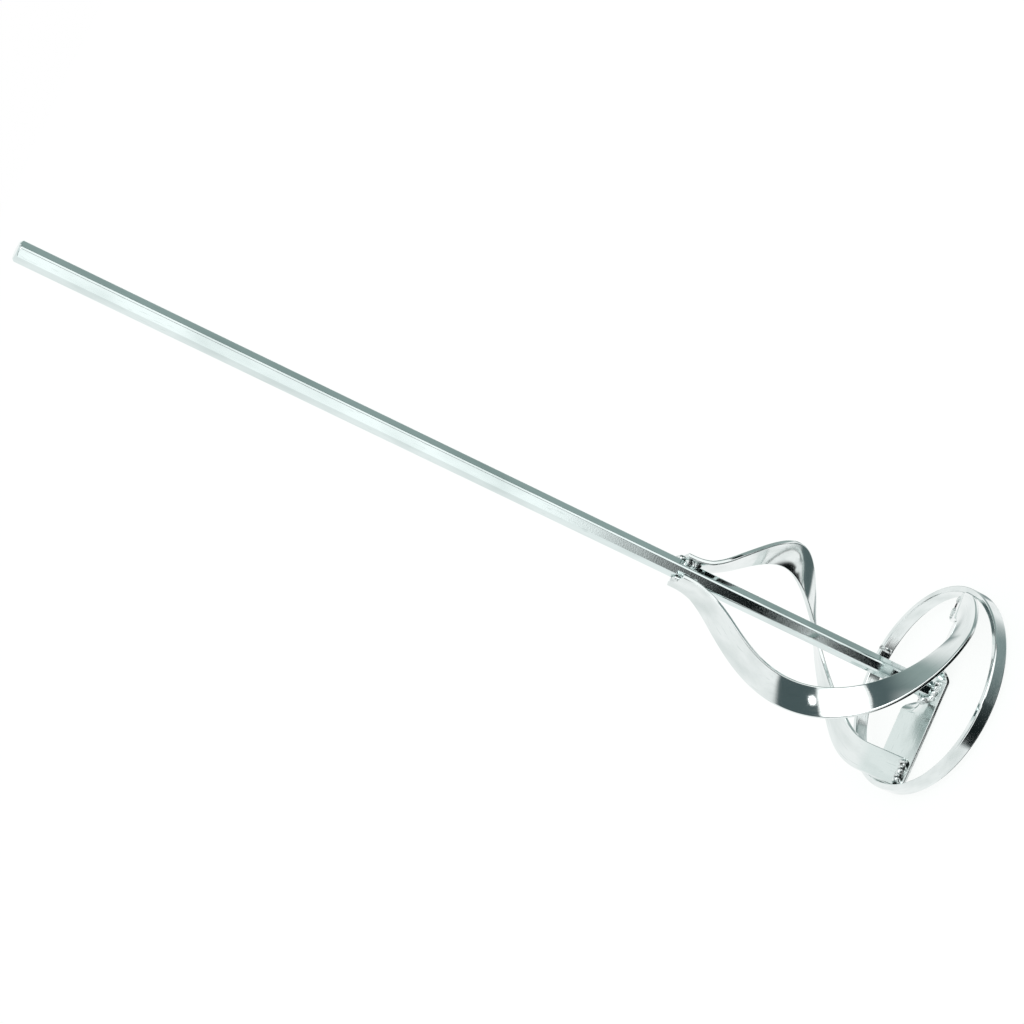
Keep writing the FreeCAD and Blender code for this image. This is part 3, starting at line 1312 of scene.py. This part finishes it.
@dataclass
class Studio:
    """White sweep, soft light all round, a few cards, and the camera."""

    floor_half: float = 6.0
    floor_drop: float = 0.0002
    paper: str = "#F7F9F8"
    shade: str = "#616161"
    paper_glow: float = 0.95
    tent: str = "#FFFFFF"
    card_distance: float = 14.0
    card_step: float = 0.25
    key_size: tuple[float, float] = (1.4, 1.0)
    key_power: float = 6.0
    key_place: tuple[float, float, float] = (1.3, 0.9, 1.9)
    key_aim: tuple[float, float, float] = (0.0, 0.0, 0.2)
    lens: float = 77.34
    target: tuple[float, float, float] = (0.0, -0.0105, 0.2695)
    distance: float = 1.1105
    azimuth: float = -3.2
    elevation: float = 20.26
    roll: float = -64.46

    # The nearest card first, so that it covers those behind it. Each stands
    # where the metal mirrors it to the camera: the side flag in the shaft's
    # left flat, the low flags in its front flat and the fill card further up
    # it, the corner and edge flags beside its bright corner, the ring flags
    # in the ring's outer face, the lamp, softbox and high flags in the front
    # blade, the under and back flags in the back blade, the foot flag in the
    # lower edges and the crown card in what faces up.
    CARDS: ClassVar[tuple[Card, ...]] = (
        Card("lamp", (-9.0, 1.6), (36.4, 46.0), "#FFFFFF", 9.0, (0.5, 0.5, 0.5, 0.5)),
        Card("softbox", (4.0, 64.0), (30.0, 56.0), "#FFFFFF", 1.9, (0.03, 0.02, 0.1, 0.1)),
        Card("high_flag", (-48.0, 3.0), (22.0, 58.0), "#4E5C5E", soft=(0.14, 0.03, 0.1, 0.1)),
        Card("corner_flag", (62.0, 70.0), (-30.6, 0.0), "#1E2627", soft=(0.1, 0.1, 0.02, 0.1)),
        Card("edge_flag", (4.0, 13.0), (-31.0, 20.0), "#2C3435", soft=(0.1, 0.1, 0.02, 0.1)),
        Card("low_dark_flag", (-40.0, 12.0), (-33.0, -28.6), "#0E1314", soft=(0.4, 0.1, 0.1, 0.04)),
        Card("low_flag", (-44.0, 12.0), (-28.1, -19.5), "#0C1314", soft=(0.04, 0.06, 0.02, 0.75)),
        Card("foot_flag", (-125.0, 95.0), (-88.0, -46.0), "#0B0F0F", soft=(0.1, 0.1, 0.02, 0.05)),
        Card("ring_dark_flag", (-44.0, 75.0), (-44.0, -31.2), "#1A2122", soft=(0.07, 0.85, 0.1, 0.02)),
        Card("ring_flag", (-44.0, 122.0), (-44.0, -31.2), "#869696", soft=(0.05, 0.25, 0.1, 0.02)),
        Card("high_side_flag", (67.0, 128.0), (18.0, 64.0), "#566567", soft=(0.02, 0.75, 0.1, 0.1)),
        Card("side_flag", (67.0, 150.0), (-31.5, 46.0), "#9BAAA8", soft=(0.02, 0.3, 0.02, 0.1)),
        Card("back_flag", (142.0, 172.0), (-50.0, 4.0), "#8E9C9C", soft=(0.3, 0.3, 0.1, 0.2)),
        Card("under_flag", (110.0, 205.0), (-84.0, -60.0), "#5A696A", soft=(0.1, 0.1, 0.2, 0.2)),
        Card("crown_card", (-180.0, 180.0), (62.0, 89.5), "#F0F5F4", soft=(0.0, 0.0, 0.9, 0.0)),
        Card("fill_card", (-46.0, 64.0), (-31.0, 12.0), "#FFFFFF", 1.22, (0.05, 0.05, 0.02, 0.2)),
    )

    def build(self) -> None:
        """Build the whole set."""
        self.floor()
        self.surround()
        for order, card in enumerate(self.CARDS):
            card.build(self.card_distance + self.card_step * order)
        self.key_light()
        self.camera()

    def floor(self) -> None:
        """Pale paper under the tool, left out of its reflections."""
        half, z = self.floor_half, -self.floor_drop
        mesh = bpy.data.meshes.new("floor")
        corners = [(-half, -half, z), (half, -half, z), (half, half, z), (-half, half, z)]
        mesh.from_pydata(corners, [], [(0, 1, 2, 3)])
        made = bpy.data.materials.new("floor_paper")
        made.use_nodes = True
        tree = made.node_tree
        tree.nodes.clear()
        paper = add_node(
            tree, "ShaderNodeBsdfPrincipled",
            {
                "Base Color": linear(self.shade),
                "Roughness": 0.9,
                "Specular IOR Level": 0.0,
                "Emission Color": linear(self.paper),
                "Emission Strength": self.paper_glow,
            },
        )
        add_node(tree, "ShaderNodeOutputMaterial", {"Surface": paper.outputs["BSDF"]})
        mesh.materials.append(made)
        floor = bpy.data.objects.new("floor", mesh)
        bpy.context.scene.collection.objects.link(floor)
        floor.visible_glossy = False

    def surround(self) -> None:
        """White light from all round, as in a light tent."""
        world = bpy.data.worlds.new("light_tent")
        world.use_nodes = True
        tree = world.node_tree
        tree.nodes.clear()
        white = add_node(
            tree, "ShaderNodeBackground", {"Color": linear(self.tent), "Strength": 1.0}
        )
        add_node(tree, "ShaderNodeOutputWorld", {"Surface": white.outputs[0]})
        bpy.context.scene.world = world
        bpy.context.scene.view_settings.view_transform = "Standard"

    def key_light(self) -> None:
        """One large soft light above the camera's side."""
        data = bpy.data.lights.new("key_light", "AREA")
        data.shape = "RECTANGLE"
        data.size, data.size_y = self.key_size
        data.energy = self.key_power
        lamp = bpy.data.objects.new("key_light", data)
        lamp.location = self.key_place
        aim = Vector(self.key_aim) - lamp.location
        lamp.rotation_euler = aim.to_track_quat("-Z", "Y").to_euler()
        lamp.visible_camera = False
        bpy.context.scene.collection.objects.link(lamp)

    def camera(self) -> None:
        """Camera above the ring's side, rolled so that the tool lies slanting."""
        a, e, r = (math.radians(v) for v in (self.azimuth, self.elevation, self.roll))
        back = np.array((math.cos(e) * math.cos(a), math.cos(e) * math.sin(a), math.sin(e)))
        level = np.array((-math.sin(a), math.cos(a), 0.0))
        upright = np.cross(back, level)
        right = level * math.cos(r) + upright * math.sin(r)
        top = upright * math.cos(r) - level * math.sin(r)
        data = bpy.data.cameras.new("camera")
        data.lens = self.lens
        data.sensor_width = 36.0
        data.clip_start, data.clip_end = 0.05, 60.0
        view = bpy.data.objects.new("camera", data)
        turn = Matrix(np.stack((right, top, back), axis=1).tolist())
        place = Vector(np.array(self.target) + back * self.distance)
        view.matrix_world = Matrix.Translation(place) @ turn.to_4x4()
        bpy.context.scene.collection.objects.link(view)
        bpy.context.scene.camera = view


# ------------------------------------------------------------------ whole tool


def main() -> None:
    logging.basicConfig(level=logging.INFO, format="%(name)s %(message)s")
    shop = Workshop([], {})
    arm, ring, blade, welds = Crossbar(), GuardRing(), MixingBlade(), Welds()
    # a few points of each run, for the heat marks round it
    hub = welds.hub_path(arm)[::8]
    top = np.concatenate((welds.side_path(blade, arm, 1), welds.side_path(blade, arm, -1)))[::3]
    foot = welds.foot_path(blade, arm)
    under = welds.arm_path(arm, ring.inner_radius)[::4]
    HexShaft().build(shop, both_ends(hub) + both_ends(top))
    arm.build(shop, ring.inner_radius, both_ends(hub) + both_ends(foot) + both_ends(under))
    ring.build(shop, both_ends(under) + [*welds.seam_path(ring)[::3]])
    skin = blade.skin(arm)
    for name, node, shape, spots in (
        ("mixing_blade_front", "blade_front", skin, [*top, *foot]),
        ("mixing_blade_back", "blade_back", skin.turned(), [*half_turn(top), *half_turn(foot)]),
    ):
        shop.place(shape, name, node, Slot.STRIP, ROLLED_STRIP, spots)
    welds.build(shop, blade, arm, ring)
    Studio().build()
    log.info("%d pieces", len(shop.made))


if __name__ == "__main__":
    main()
